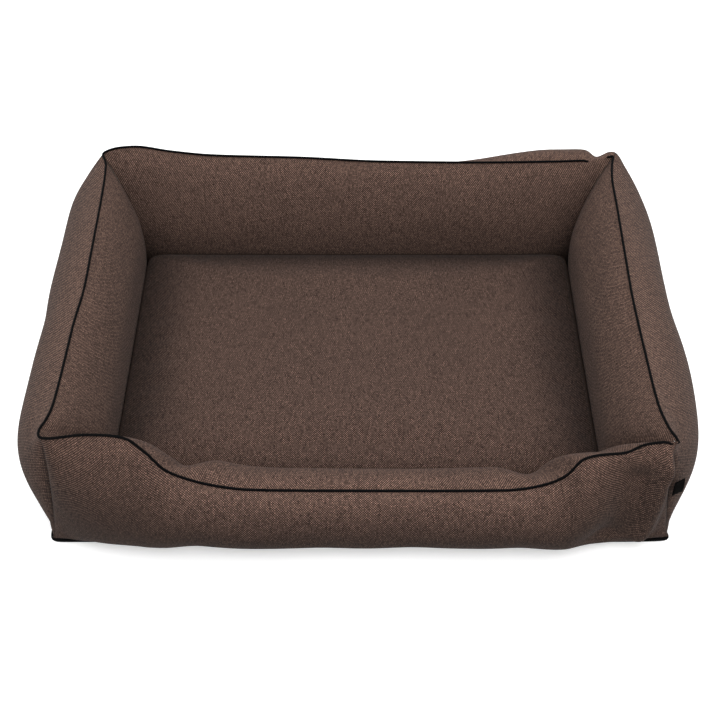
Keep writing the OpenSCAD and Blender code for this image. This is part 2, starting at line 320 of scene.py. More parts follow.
def corded(name, base, highlight, pitch=1.1 * MM, sheen=0.005):
    """Cloth wrapped on the bias round a cord: fine slanting ribs."""
    g = Graph(name, Roughness=0.85, Sheen_Weight=sheen, Sheen_Roughness=0.4, Specular_IOR_Level=0.06)
    x, y, _ = g.split(g.grain())
    slant = g.times(g.math("ADD", x, y), 2 * math.pi / pitch)
    rib = g.linear(g.math("SINE", slant), 0.5, 0.5)
    tone_marks = g.noise(g.place(), 160.0, 3.0)
    tone = g.times(g.linear(rib, 0.6, 0.4), tone_marks)
    return g.finish(g.mix(tone, base, highlight), height=rib, distance=0.15 * MM, strength=0.7)


def flat_cloth(name, base, highlight, pitch=1.0 * MM, roughness=0.9, sheen=0.03):
    """Plain close cloth, for the lining, label, tapes and thread, its weave laid by place and not by UV."""
    g = Graph(name, Roughness=roughness, Sheen_Weight=sheen, Specular_IOR_Level=4 * sheen)
    wave = 2 * math.pi / pitch
    x, y, z = g.split(g.place())
    rows = g.math("SINE", g.times(g.math("ADD", x, y), wave))
    columns = g.math("SINE", g.times(g.math("ADD", z, g.math("SUBTRACT", x, y)), wave))
    height = g.linear(g.times(rows, columns), 0.5, 0.5)
    tone = g.times(height, g.noise(g.place(), 220.0, 3.0))
    return g.finish(g.mix(tone, base, highlight), height=height, distance=0.12 * MM, strength=0.6)


def dotted_base(name):
    """Black non-slip cloth with a grid of small rubber dots."""
    g = Graph(name, Specular_IOR_Level=0.4)
    pitch = 7 * MM
    x, y, _ = g.split(g.place())
    fx = g.math("SUBTRACT", g.math("FRACT", g.times(x, 1 / pitch)), 0.5)
    fy = g.math("SUBTRACT", g.math("FRACT", g.times(y, 1 / pitch)), 0.5)
    away = g.math("SQRT", g.math("ADD", g.times(fx, fx), g.times(fy, fy)))
    dot = g.node("ShaderNodeMapRange", Value=away, From_Min=0.24, From_Max=0.17).outputs[0]
    cloth = g.noise(g.place(), 900.0, 2.0)
    colour = g.mix(dot, g.mix(cloth, (0.006, 0.006, 0.007), (0.022, 0.022, 0.024)), (0.012, 0.012, 0.013))
    rough = g.linear(dot, -0.45, 0.92)
    return g.finish(colour, rough, g.math("ADD", dot, g.times(cloth, 0.25)), distance=0.6 * MM)


def metal(name):
    """Nickel plate, brushed by use."""
    g = Graph(name, Metallic=1.0)
    scratches = g.noise(g.place(), 1800.0, 4.0)
    dull = g.noise(g.place(), 140.0, 2.0)
    rough = g.linear(scratches, 0.25, g.times(dull, 0.35))
    colour = g.mix(dull, (0.34, 0.34, 0.36), (0.52, 0.52, 0.54))
    return g.finish(colour, rough, scratches, distance=0.02 * MM)


def moulded(name, base, highlight):
    """Moulded plastic with a faint grain."""
    g = Graph(name, Specular_IOR_Level=0.5)
    specks = g.noise(g.place(), 1200.0, 3.0)
    rough = g.linear(specks, 0.2, 0.35)
    return g.finish(g.mix(specks, base, highlight), rough, specks, distance=0.03 * MM)


def foam(name, base, pore):
    """Open cell foam or loose fibre: pale, matt and pitted."""
    g = Graph(name, Roughness=1.0, Specular_IOR_Level=0.1)
    cells = g.node("ShaderNodeTexVoronoi", Vector=g.place(), Scale=700.0).outputs["Distance"]
    soft = g.noise(g.place(), 60.0, 4.0)
    tone = g.times(cells, soft)
    return g.finish(g.mix(tone, pore, base), height=cells, distance=0.5 * MM)


CLOTH = upholstery("brown_weave", (0.155, 0.094, 0.072), (0.016, 0.009, 0.007))
BLACK_PIPING = corded("black_piping", (0.0006, 0.0006, 0.0006), (0.0035, 0.0035, 0.0038), sheen=0.0)
BROWN_PIPING = corded("brown_piping", (0.009, 0.006, 0.0045), (0.036, 0.023, 0.018))
LINING = flat_cloth("brown_lining", (0.028, 0.019, 0.016), (0.075, 0.052, 0.042))
LABEL = flat_cloth("label_weave", (0.001, 0.001, 0.001), (0.008, 0.0065, 0.006), 0.8 * MM, sheen=0.004)
TAPE = flat_cloth("zip_tape", (0.005, 0.005, 0.006), (0.022, 0.022, 0.024), 0.9 * MM)
THREAD = flat_cloth("brown_thread", (0.06, 0.042, 0.034), (0.16, 0.11, 0.09), 0.5 * MM, roughness=0.6)
BASE = dotted_base("non_slip_base")
METAL = metal("nickel_plate")
TEETH = moulded("black_teeth", (0.006, 0.006, 0.007), (0.02, 0.02, 0.022))
FIBRE = foam("fibre_fill", (0.82, 0.81, 0.78), (0.55, 0.54, 0.52))
FOAM = foam("support_foam", (0.76, 0.69, 0.5), (0.5, 0.44, 0.3))
TOPPER = foam("topper_foam", (0.86, 0.84, 0.76), (0.62, 0.6, 0.52))

# ---------------- walls
# Every corner has one outer seam, from the base piping up to the crests' corner. In millimetres:
#   crest           the corner where two crests meet
#   seam_x, seam_y  how far the seam stands outside the crests' rectangle, from the base up; its last step
#                   is the crests' corner itself
# "rise" is how soon the seam reaches the top. "square" is how far into the corner the full bulge runs, for
# the side wall and then for the front or back wall: the higher, the further.
CORNERS = {
    "FL": {"crest": (-439, -329, 232), "seam_x": (16, 5, -4), "seam_y": (-2, 4, 8),
           "rise": 0.7, "square": (8, 10)},
    "FR": {"crest": (446, -332, 228), "seam_x": (29, 16, 4), "seam_y": (-5, 0, 4),
           "rise": 0.7, "square": (7, 7)},
    "BR": {"crest": (443, 324, 228), "seam_x": (12, 20, 32), "seam_y": (-1, 14, 33),
           "rise": 1.1, "square": (8, 14)},
    "BL": {"crest": (-441, 332, 227), "seam_x": (12, 22, 20), "seam_y": (-1, 12, 20),
           "rise": 0.98, "square": (14, 10)},
}
INNER_SEAM = (-44, -74, -62)       # the same for the inner corner seams

# Crests between the corners: (x, y, z) in millimetres. These are traced: a scratch program projected places
# on the photo's piping back through the camera, and its points were thinned, rounded and partly adjusted.
# The corners' "crest" points above began the same way.
FRONT_CREST = [
    (-427, -331, 232), (-410, -326, 229), (-376, -323, 231), (-348, -323, 230), (-321, -324, 225),
    (-296, -326, 198), (-271, -328, 161), (-245, -329, 145), (-217, -330, 134), (-189, -330, 126),
    (-160, -330, 121), (-103, -330, 119), (100, -330, 118), (214, -330, 119), (242, -330, 123),
    (270, -330, 132), (297, -330, 150), (321, -328, 187), (348, -327, 194), (376, -326, 196),
    (402, -325, 213), (420, -326, 218),
]
RIGHT_CREST = [
    (436, -305, 226), (429, -250, 222), (427, -150, 220), (426, -40, 219), (428, 60, 220),
    (431, 190, 223), (432, 255, 224), (438, 307, 227),
]
BACK_CREST = [
    (395, 322, 220), (330, 320, 219), (200, 319, 218), (40, 322, 218), (-110, 331, 220),
    (-250, 333, 223), (-324, 339, 227), (-385, 346, 232), (-411, 343, 232), (-430, 338, 230),
]
LEFT_CREST = [
    (-431, 304, 225), (-427, 223, 223), (-425, 75, 220), (-424, 0, 219), (-429, -100, 219),
    (-430, -200, 221), (-431, -262, 225), (-436, -297, 229), (-441, -315, 231),
]


class Wall:
    """One stuffed wall. u runs along it from -1 to 1 and t from the base seam, 0, to the crest, 1."""

    def __init__(self, name, along, out, half, dist, ends, crest, outer, inner, columns):
        self.name, self.half, self.dist, self.columns = name, half, dist, columns
        self.along, self.out = np.array([*along, 0.0]), np.array([*out, 0.0])
        self.ends = [CORNERS[e] for e in ends]
        self.outer, self.inner = outer, inner
        points = [self.ends[0]["crest"], *crest, self.ends[1]["crest"]]
        flat = np.array(points, float) * MM
        self.crest_s, self.crest_o = flat @ self.along, flat @ self.out
        self.crest_h = flat[:, 2]

    def end_seam(self, end, t, outer):
        """(along, out) of a corner's seam; both walls at a corner get the same line from here."""
        corner = self.ends[end]
        sideways = abs(self.along[1]) > 0.5
        reach = {}
        for axis, half, key in ((0, HALF_W, "seam_x"), (1, HALF_D, "seam_y")):
            inside = [v * MM for v in (corner[key] if outer else INNER_SEAM)]
            last = abs(corner["crest"][axis]) * MM - half
            reach[axis] = half + bezier([*inside, last], t)
        return (reach[1], reach[0]) if sideways else (reach[0], reach[1])

    def point(self, u, t, outer):
        """Points of a panel before it is inflated; u and t are arrays of one shape."""
        crest_along = np.where(u < 0, -self.crest_s[0], self.crest_s[-1]) * u
        crest_out = through(self.crest_s, self.crest_o, crest_along)
        crest_z = through(self.crest_s, self.crest_h, crest_along)
        squares = [end["square"][0 if abs(self.out[0]) > 0.5 else 1] for end in self.ends]
        square = np.where(u < 0, *squares)
        firm = square + 9 * (1 - smooth(t / 0.15)) if outer else 7 + 0 * t
        full = 1 - np.abs(u) ** firm
        hold = t**1.5
        first = self.end_seam(0, t, outer)
        second = self.end_seam(1, t, outer)
        seam_along = np.where(u < 0, first[0], second[0])
        seam_out = np.where(u < 0, first[1], second[1])
        corner_out = np.where(u < 0, self.crest_o[0], self.crest_o[-1])
        corner_bulge = seam_out - hold * corner_out - (1 - hold) * self.dist
        reach, rise = (self.outer if outer else self.inner)(u, t)
        bulge = corner_bulge + (reach - corner_bulge) * full
        third = np.where(u < 0, *[end["rise"] if outer else 0.7 for end in self.ends])
        rise = bezier([0, 0.3, third, 1], t) * (1 - full) + rise * full
        out = hold * crest_out + (1 - hold) * self.dist + bulge
        z = SEAM_Z + (crest_z - SEAM_Z) * rise
        return (
            (u * seam_along)[..., None] * self.along
            + out[..., None] * self.out
            + z[..., None] * np.array([0, 0, 1.0])
        )


# A wall's cross-section, from the base seam to the crest, is two Bezier curves: how far it reaches past the
# line from the one to the other, in metres, and how far up it is, as a share.
UPRIGHT = (0, 0.17, 0.72, 1)


def front_outer(u, t):
    """Bulges out close to the floor, so that it hides the base piping from above."""
    high = smooth((np.abs(u) - 0.5) / 0.2)
    middle = 1 - smooth((np.abs(u - 0.03) - 0.12) / 0.3)
    reach = bezier([-2 * MM, (38 + 14 * high - 8 * middle) * MM, (98 - 4 * high) * MM, 0], t)
    rise = bezier([0, 0.1 - 0.05 * high, 0.9 - 0.26 * high, 1], t)
    return reach, rise


def front_inner(u, t):
    """Plump and rounded at the top across the entry, upright where the wall is high."""
    low = 1 - smooth((np.abs(u) - 0.5) / 0.14)
    second = -(70 + 4 * low) * MM
    third = -(84 - 2 * low - 16 * bump(u, -0.7, 0.1)) * MM
    reach = bezier([-44 * MM, second, third, 0], t)
    rise = bezier([0, 0.2, 0.7, 1], t) * (1 - low) + bezier([0, 0.25, 1.26, 1], t) * low
    return reach, rise


def back_outer(u, t):
    """The right half of the top rolls over, so that the seam lies on its inner side."""
    roll = smooth((-0.25 - u) / 0.5)
    roll = roll * (1 - 0.75 * bump(u, -0.93, 0.03))
    reach = bezier([6 * MM, 48 * MM, (104 - 14 * roll) * MM, 0], t)
    rise = bezier(UPRIGHT, t) * (1 - roll) + bezier([0, 0.17, 1.22, 1], t) * roll
    return reach, rise


def side_outer(low, high, fullest, more):
    """The outer side of a side wall, low and high being its bulge's two control points in millimetres. It
    bulges by up to "more" millimetres more round u = fullest."""
    def shape(u, t):
        extra = more * bump(u, fullest, 0.35)
        reach = bezier([15 * MM, (low + extra / 2) * MM, (high + extra) * MM, 0], t)
        return reach, bezier(UPRIGHT, t)
    return shape


def side_inner(u, t):
    """The inner side of the side walls and the back wall."""
    return bezier([-48 * MM, -92 * MM, -80 * MM, 0], t), bezier(UPRIGHT, t)


WALLS = {
    "front": Wall("front", (1, 0), (0, -1), HALF_W, HALF_D, ("FL", "FR"), FRONT_CREST,
                  front_outer, front_inner, 150),
    "right": Wall("right", (0, 1), (1, 0), HALF_D, HALF_W, ("FR", "BR"), RIGHT_CREST,
                  side_outer(76, 124, -0.25, 16), side_inner, 96),
    "back": Wall("back", (-1, 0), (0, 1), HALF_W, HALF_D, ("BR", "BL"), BACK_CREST,
                 back_outer, side_inner, 126),
    "left": Wall("left", (0, -1), (-1, 0), HALF_D, HALF_W, ("BL", "FL"), LEFT_CREST,
                 side_outer(64, 118, -0.1, 9), side_inner, 96),
}
ROWS = 30             # steps up one panel
ZIP_T = 0.25          # height of the zip in the back wall, as a share of the way up
ZIP_SLOT = 0.03       # half the height of its slot, as a share of the way up
ZIP_EDGE = 6 * MM     # from the middle of the chain to each edge of the slot
ZIP_END = 306 * MM    # half the length of its slot
TAPE_T = 0.8 * MM
chain_lo, chain_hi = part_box("cover_zip_teeth")
ZIP_MIDDLE = np.array([0, (chain_lo[1] + chain_hi[1]) / 2, (chain_lo[2] + chain_hi[2]) / 2])
tape_size = np.subtract(*reversed(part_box("cover_zip_tapes")))
# How far the zip leans back: the tapes' box, less what their thickness adds to it, is its diagonal
ZIP_LEAN = math.atan2(tape_size[1] - 0.88 * TAPE_T, tape_size[2] - 0.47 * TAPE_T)
ZIP_OUT = np.array([0, math.cos(ZIP_LEAN), -math.sin(ZIP_LEAN)])
ZIP_ACROSS = np.array([0, math.sin(ZIP_LEAN), math.cos(ZIP_LEAN)])


def stations(count, crowding=1.35):
    """Places from -1 to 1, closer together towards both ends."""
    v = np.linspace(-1, 1, count + 1)
    return np.sign(v) * (1 - (1 - np.abs(v)) ** crowding)


def rows_up(zip_rows):
    """Places up a panel, closer together towards the crest, with rows at the zip where it has one."""
    t = 1 - (1 - np.linspace(0, 1, ROWS + 1)) ** 1.15
    if zip_rows:
        for want in (ZIP_T - ZIP_SLOT, ZIP_T, ZIP_T + ZIP_SLOT):
            t[np.abs(t - want).argmin()] = want
    return t


def snap_columns(u, wall):
    """Moves the nearest columns to the ends of the zip's slot."""
    for want in (-ZIP_END, ZIP_END):
        u[np.abs(u * wall.half - want).argmin()] = want / wall.half
    return u


WALL_SWELL = {"pressure": 4.0, "steps": 20, "cap": 14 * MM}
CUSHION_SWELL = {"pressure": 2.0, "steps": 14, "cap": 5 * MM}
WALL_GROWTH, FRONT_GROWTH, CUSHION_GROWTH = 0.007, 0.004, 0.006
EVENING = 20          # how many times a wall's swelling is averaged along it, against puckers


def inflate(obj, pinned, growth, pressure, steps, cap):
    """Swells a closed mesh like stuffed cloth, which also grows by the share growth. Pinned points stay, and
    no point moves further than cap."""
    mesh = obj.data
    start = np.empty(len(mesh.vertices) * 3)
    mesh.vertices.foreach_get("co", start)
    start = start.reshape(-1, 3)
    group = obj.vertex_groups.new(name="pin")
    group.add([int(i) for i in pinned], 1.0, "REPLACE")
    cloth = obj.modifiers.new("cloth", "CLOTH")
    settings = cloth.settings
    for key, value in {
        "quality": 6, "mass": 0.4, "tension_stiffness": 15.0, "compression_stiffness": 15.0,
        "shear_stiffness": 5, "bending_stiffness": 0.6, "vertex_group_mass": "pin", "pin_stiffness": 1,
        "use_pressure": True, "uniform_pressure_force": pressure, "shrink_min": -growth,
    }.items():
        setattr(settings, key, value)
    settings.effector_weights.gravity = 0
    cloth.point_cache.frame_start = 1
    cloth.point_cache.frame_end = steps
    for step in range(1, steps + 1):
        bpy.context.scene.frame_set(step)
    moved = obj.evaluated_get(bpy.context.evaluated_depsgraph_get()).to_mesh()
    end = np.empty(len(moved.vertices) * 3)
    moved.vertices.foreach_get("co", end)
    end = end.reshape(-1, 3)
    obj.modifiers.remove(cloth)
    bpy.context.scene.frame_set(1)
    shift = end - start
    length = np.linalg.norm(shift, axis=1)[:, None] + 1e-9
    return start + shift / length * cap * np.tanh(length / cap)


def grid_faces(rows, columns, offset=0, keep=None):
    """Quads of a grid whose point (i, j) is number offset + i * columns + j."""
    faces = []
    for i in range(rows - 1):
        for j in range(columns - 1):
            if keep is None or keep(i, j):
                a = offset + i * columns + j
                faces.append((a, a + columns, a + columns + 1, a + 1))
    return faces


def meet_zip(outer, x, t):
    """Bends the back wall's cloth so that the edges of its slot lie over the zip's tapes."""
    near = 1 - smooth((np.abs(x) - ZIP_END - 5 * MM) / (60 * MM))
    moved = outer.copy()
    weight = bump(t, ZIP_T, 0.11) * near
    middle = np.abs(t[0] - ZIP_T).argmin()
    target = ZIP_MIDDLE + ZIP_OUT * 1.4 * MM
    shift = target - outer[:, middle]
    shift[:, 0] = 0
    moved += weight[..., None] * shift[:, None, :]
    for step in (0, -ZIP_SLOT, ZIP_SLOT):
        j = np.abs(t[0] - ZIP_T - step).argmin()
        line = target + ZIP_ACROSS * ZIP_EDGE * np.sign(step)
        for axis in (1, 2):
            moved[:, j, axis] = moved[:, j, axis] * (1 - near[:, j]) + line[axis] * near[:, j]
    return moved


def build_wall(wall):
    """Inflates a wall as one closed body. Returns its stations, rows and the two grids of points."""
    u = stations(wall.columns)
    if wall.name == "back":
        u = snap_columns(u, wall)
    t = rows_up(wall.name == "back")
    uu, tt = np.meshgrid(u, t, indexing="ij")
    outer = wall.point(uu, tt, True)
    inner = wall.point(uu, tt, False)
    if wall.name == "back":
        outer = meet_zip(outer, uu * wall.half, tt)
    n, m = len(u), len(t)
    ring = 2 * m - 1
    body = np.concatenate([outer, inner[:, -2::-1]], axis=1).reshape(-1, 3)
    obj = mesh_object(wall.name + "_swelling", body, ring_faces(n, ring))
    pinned = {i * ring + j for i in range(n) for j in (0, m - 1, ring - 1)}
    pinned |= {i * ring + j for i in (0, n - 1) for j in range(ring)}
    if wall.name == "back":
        held = [j for j in range(m) if abs(t[j] - ZIP_T) < ZIP_SLOT + 1e-6]
        pinned |= {i * ring + j for i in range(n) for j in held}
    growth = FRONT_GROWTH if wall.name == "front" else WALL_GROWTH
    swollen = inflate(obj, sorted(pinned), growth, **WALL_SWELL)
    bpy.data.objects.remove(obj)
    flat_body = body.reshape(n, ring, 3)
    shift = swollen.reshape(n, ring, 3) - flat_body
    for _ in range(EVENING):
        shift[1:-1] = (shift[:-2] + 2 * shift[1:-1] + shift[2:]) / 4
    swollen = flat_body + shift
    return u, t, swollen[:, :m].copy(), swollen[:, :m - 2:-1].copy()


def from_seam(u, wall):
    """How far each station along a wall is from the nearer corner seam, in metres."""
    return (1 - np.abs(u)) * wall.half


def draw_in_seams(outer, wall, u, t):
    """The stitched corner seams pull the cloth in to a narrow groove."""
    depth = 3.2 * MM * np.exp(-((from_seam(u, wall) / (4 * MM)) ** 2))
    ends = smooth(t / 0.06) * smooth((1 - t) / 0.06)
    inward = -np.sign(u)[:, None] * wall.along - wall.out
    return outer + (depth[:, None, None] * inward[:, None, :] / math.sqrt(2)) * ends[None, :, None]


def grain_of(points, wall, u):
    """Cloth coordinates: distance along the wall, and distance up the cloth from the base seam."""
    up = np.linalg.norm(np.diff(points, axis=1), axis=2)
    height = np.concatenate([np.zeros((len(u), 1)), np.cumsum(up, axis=1)], axis=1)
    along = np.repeat((u * wall.half)[:, None], points.shape[1], axis=1)
    return np.stack([along, height], axis=2).reshape(-1, 2)


def rub_and_shade_attribute(obj, values):
    """Stores how rubbed each point is and its painted shade, both of which the cloth's material reads."""
    layer = obj.data.attributes.new("rub_and_shade", "FLOAT", "POINT")
    layer.data.foreach_set("value", np.asarray(values, float).ravel())


def normals_of(points):
    du, dt = np.gradient(points, axis=0), np.gradient(points, axis=1)
    n = np.cross(du, dt)
    return n / (np.linalg.norm(n, axis=2)[..., None] + 1e-12)


def ridge(points, u, t, start, end, width, height):
    """Raises a soft fold along a line from start to end, each (u, t), by height in metres."""
    normal = normals_of(points)
    uu, tt = np.meshgrid(u, t, indexing="ij")

    def at(spot):
        i, j = (int(round(np.interp(v, line, np.arange(len(line))))) for v, line in zip(spot, (u, t)))
        return points[i, j]

    axis = at(end) - at(start)
    length = np.linalg.norm(axis)
    axis = axis / length
    away = points - at(start)
    s = away @ axis
    off = np.linalg.norm(away - s[..., None] * axis, axis=2)
    ends = smooth(s / (0.25 * length) + 0.5) * smooth((length - s) / (0.25 * length) + 0.5)
    lift = height * np.exp(-((off / width) ** 2)) * ends
    free = np.minimum(smooth((tt - 0.03) / 0.3), smooth((1 - tt) / 0.08))
    free = free * np.minimum(1, (1 - np.abs(uu)) / 0.02)
    return points + normal * (lift * free)[..., None]


CUSHION_CLEAR = 1.0 * MM     # what the inner covers leave free round the cushion


def keep_off_cushion(points, wall):
    """Inner panels ease off where the cushion has to pass."""
    limit = (CUSHION_HALF[0] if abs(wall.out[0]) > 0.5 else CUSHION_HALF[1]) + CUSHION_CLEAR
    past = points @ wall.out - limit
    eased = (past + np.sqrt(past**2 + (5 * MM) ** 2)) / 2
    return points + (eased - past)[..., None] * wall.out


def drop_loose(obj):
    """Removes the points that no face uses."""
    cut = bmesh.new()
    cut.from_mesh(obj.data)
    bmesh.ops.delete(cut, geom=[v for v in cut.verts if not v.link_faces], context="VERTS")
    cut.to_mesh(obj.data)
    cut.free()


def finish_panel(name, points, grain, rub_and_shade, faces, replaced):
    obj = mesh_object(name, points.reshape(-1, 3), faces, grain)
    rub_and_shade_attribute(obj, rub_and_shade)
    drop_loose(obj)
    add_thickness(obj, FABRIC)
    return place(obj, "bed", CLOTH, replaced)


def wear_and_painted_shade(wall, u, t):
    """How rubbed each point of the outer and inner cover is near the crest. Below zero it is painted shade:
    low on the inner cover and in its corners, along the corner seams and across the middle of the front's
    outer cover.
    """
    tt = np.repeat(t[None, :], len(u), axis=0)
    crest = smooth((tt - 0.82) / 0.18)
    corners = smooth((np.abs(u) - 0.8) / 0.2)[:, None]
    # Painted shade on the inner cover, darkest near the base by the cushion and low in the corners.
    inner = crest - 1.7 * (1 - smooth(tt / 0.6)) - 1.5 * corners * (1 - 0.6 * tt)
    # Painted shade across the middle height of the front's outer cover.
    outer = crest - 1.3 * bump(tt, 0.48, 0.3) if wall.name == "front" else crest
    # Painted shade in the groove along each corner seam.
    seam = np.exp(-((from_seam(u, wall) / (2.5 * MM)) ** 2))[:, None]
    return outer - 2.4 * seam, inner


def fold_front(outer, u, t):
    """The shaded valley and the lit fold beside it, in the front right corner."""
    outer = ridge(outer, u, t, (0.9, 0.85), (0.79, 0.25), 34 * MM, -21 * MM)
    return ridge(outer, u, t, (0.98, 0.93), (0.89, 0.1), 14 * MM, 25 * MM)


def nearest(t, want):
    return int(np.abs(t - want).argmin())


def faces_round_slot(wall, u, t):
    """The back cover's faces above the zip's slot, and those below it."""
    middle, low, high = (nearest(t, ZIP_T + step) for step in (0, -ZIP_SLOT, ZIP_SLOT))
    slot = np.abs(u[:-1] + u[1:]) / 2 * wall.half < ZIP_END
    above = grid_faces(len(u), len(t), keep=lambda i, j: j >= (high if slot[i] else middle))
    below = grid_faces(len(u), len(t), keep=lambda i, j: j < (low if slot[i] else middle))
    return above, below


SHAPES = {}          # each wall's stations, rows and the points of its outer and inner cover


def cover_wall(wall):
    """Builds one wall's covers and keeps their points."""
    u, t, outer, inner = build_wall(wall)
    if wall.name == "front":
        outer = fold_front(outer, u, t)
    outer = draw_in_seams(outer, wall, u, t)
    inner = keep_off_cushion(inner, wall)
    SHAPES[wall.name] = (u, t, outer, inner)
    # Rubbed crests and painted shade, stored for the cloth's material.
    outer_wear_and_shade, inner_wear_and_shade = wear_and_painted_shade(wall, u, t)
    outer_grain, inner_grain = grain_of(outer, wall, u), grain_of(inner, wall, u)
    whole = grid_faces(len(u), len(t))
    inner_parts = [("inner_cover", turned(whole), "inner_panel")]
    outer_parts = [("outer_cover", whole, "outer_panel")]
    if wall.name == "back":
        above, below = faces_round_slot(wall, u, t)
        outer_parts = [("outer_cover", above, "outer_panel"), ("lower_cover", below, "lower_strip")]
    for points, grain, rub_and_shade, parts in (
        (inner, inner_grain, inner_wear_and_shade, inner_parts), (outer, outer_grain, outer_wear_and_shade, outer_parts),
    ):
        for name, faces, node in parts:
            finish_panel(f"{wall.name}_{name}", points, grain, rub_and_shade, faces, [f"{wall.name}_{node}"])


for wall in WALLS.values():
    cover_wall(wall)


# ---------------- stuffing inside the walls
def stuffing(wall):
    """The loose fibre inside a wall, a little smaller than its cover."""
    u, t, outer, inner = SHAPES[wall.name]
    depth = 9 * MM if wall.name == "back" else 4 * MM
    a = (outer - normals_of(outer) * depth)[2:-2:2, 1:-1:2]
    b = (inner + normals_of(inner) * 4 * MM)[2:-2:2, 1:-1:2]
    n, m = a.shape[:2]
    body = np.concatenate([a, b[:, ::-1]], axis=1).reshape(-1, 3)
    obj = mesh_object(wall.name + "_stuffing", body, ring_faces(n, 2 * m))
    return place(obj, "bed", FIBRE, [wall.name + "_bolster_fill"])


for wall in WALLS.values():
    stuffing(wall)


# ---------------- piping
def resample(route, step, closed=False):
    route = np.asarray(route, float)
    if closed:
        route = np.concatenate([route, route[:1]])
    length = lengths_along(route)
    count = max(8, int(length[-1] / step))
    at = np.linspace(0, length[-1], count + 1)
    made = at_lengths(route, length, at)
    return made[:-1] if closed else made


def relax(route, times, closed=False):
    """Rounds a route's corners a little."""
    for _ in range(times):
        if closed:
            route = (np.roll(route, 1, 0) + 2 * route + np.roll(route, -1, 0)) / 4
        else:
            route[1:-1] = (route[:-2] + 2 * route[1:-1] + route[2:]) / 4
    return route


def crest_of(name):
    return SHAPES[name][2][:, -1]


def sink_end(route, reach, depth, at_start):
    """The last stretch of a cord dives under the cloth."""
    length = lengths_along(route)
    from_end = length if at_start else length[-1] - length
    down = (1 - smooth(from_end / reach)) * depth
    return route - down[:, None] * np.array([0, 0, 1.0])


CORD_STEP = 4 * MM                          # between the points of the crest piping
CREST_LIFT = np.array([0, 0, 1.2 * MM])     # how far the cord's middle lies above the seam
BASE_SPREAD = 1.006                         # the base piping shows round the covers' lower edge


def crest_piping():
    """Two runs of cord. Both sink into the cloth at the front right corner, and the long one also in the
    back wall, back_dive from the back right corner, where the cloth rolls over it."""
    back_dive, front_dive = 40 * MM, 10 * MM
    long_run = np.concatenate([crest_of("back"), crest_of("left")[1:], crest_of("front")[1:]])
    first, last = int(back_dive / CORD_STEP), int(front_dive / CORD_STEP)
    long_run = relax(resample(long_run, CORD_STEP)[first:-last], 2)
    for at_start in (True, False):
        long_run = sink_end(long_run, 14 * MM, 5 * MM, at_start)
    cord = tube("crest_piping_cord", long_run + CREST_LIFT, CREST_PIPING_R)
    place(cord, "bed", BLACK_PIPING, ["crest_piping"])
    hook = resample(crest_of("back"), CORD_STEP)[1:4]
    right_run = relax(np.concatenate([resample(crest_of("right"), CORD_STEP), hook]), 2)
    right_run = sink_end(right_run, 10 * MM, 4 * MM, True)
    cord = tube("right_crest_piping_cord", right_run + CREST_LIFT, CREST_PIPING_R)
    place(cord, "bed", BLACK_PIPING)


crest_piping()
foot_run = np.concatenate([SHAPES[name][2][:-1, 0] for name in ("front", "right", "back", "left")])
foot_run = relax(resample(foot_run, 5 * MM, closed=True), 6, closed=True)
foot_run[:, :2] *= BASE_SPREAD
foot_run[:, 2] = BASE_PIPING_R
foot_cord = tube("base_piping_cord", foot_run, BASE_PIPING_R, sides=12, closed=True)
place(foot_cord, "bed", BLACK_PIPING, ["base_piping"])


def base_sheet():
    """The base fabric, cut to the line of the base piping."""
    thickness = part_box("base_panel")[1][2]
    points = [(x, y, z) for z in (0, thickness) for x, y, _ in foot_run]
    sheet = mesh_object("base_cloth", points, turned(ring_faces(2, len(foot_run))), smooth_shade=False)
    place(sheet, "bed", BASE, ["base_panel"])


base_sheet()


# ---------------- cushion


def cushion_plan(a, b, inset, pull):
    """Maps a square, a and b from -1 to 1, onto the cushion's rounded rectangle as seen from above."""
    ring = np.maximum(np.maximum(np.abs(a), np.abs(b)), 1e-9)
    ea, eb = a / ring, b / ring
    scale = (np.abs(ea) ** 30 + np.abs(eb) ** 30 + 1e-40) ** (-1 / 30)
    ea, eb = ea * scale, eb * scale
    x = ring * (CUSHION_HALF[0] - inset) * ea - pull * ring**4 * np.sign(ea) * ea**8 * (1 - eb**2)
    y = ring * (CUSHION_HALF[1] - inset) * eb - pull * ring**4 * np.sign(eb) * eb**8 * (1 - ea**2)
    return x, y


def pillow(inset, low, high, crown_low, shoulder, crown, side_rows, belly, counts=(92, 64)):
    """A closed box with a crowned top on rounded shoulders. Gives its points, faces, each face's part and
    the rings of points up its side."""
    steps = [stations(count, 1.2) for count in counts]
    n, m = (len(v) for v in steps)
    a, b = np.meshgrid(*steps, indexing="ij")
    pull = 1.0 * MM
    x, y = cushion_plan(a, b, inset, pull)
    edge = np.maximum(np.abs(a), np.abs(b))
    dome = (1 - a**2) * (1 - b**2)
    bottom = np.stack([x, y, low - crown_low * (1 - edge**7)], axis=2).reshape(-1, 3)
    top = np.stack([x, y, high + shoulder * (1 - edge**14) ** 0.6 + crown * dome**0.7], axis=2)
    ring = [(i, 0) for i in range(n - 1)] + [(n - 1, j) for j in range(m - 1)]
    ring += [(i, m - 1) for i in range(n - 1, 0, -1)] + [(0, j) for j in range(m - 1, 0, -1)]
    rim = np.array([i * m + j for i, j in ring])
    count = len(rim)
    points = [bottom, top.reshape(-1, 3)]
    rows = [rim]
    for k in range(1, side_rows):
        share = k / side_rows
        grown = cushion_plan(a.ravel()[rim], b.ravel()[rim], inset - belly * math.sin(math.pi * share), pull)
        z = np.full(count, low + (high - low) * share)
        rows.append(np.arange(count) + sum(len(p) for p in points))
        points.append(np.stack([*grown, z], axis=1))
    rows.append(rim + n * m)
    faces = turned(grid_faces(n, m))
    kind = ["bottom"] * len(faces)
    upper = grid_faces(n, m, offset=n * m)
    faces += upper
    kind += ["top"] * len(upper)
    for below, above in zip(rows, rows[1:]):
        for j in range(count):
            k = (j + 1) % count
            faces.append((int(below[j]), int(below[k]), int(above[k]), int(above[j])))
            kind.append("side")
    return np.concatenate(points), faces, kind, rows


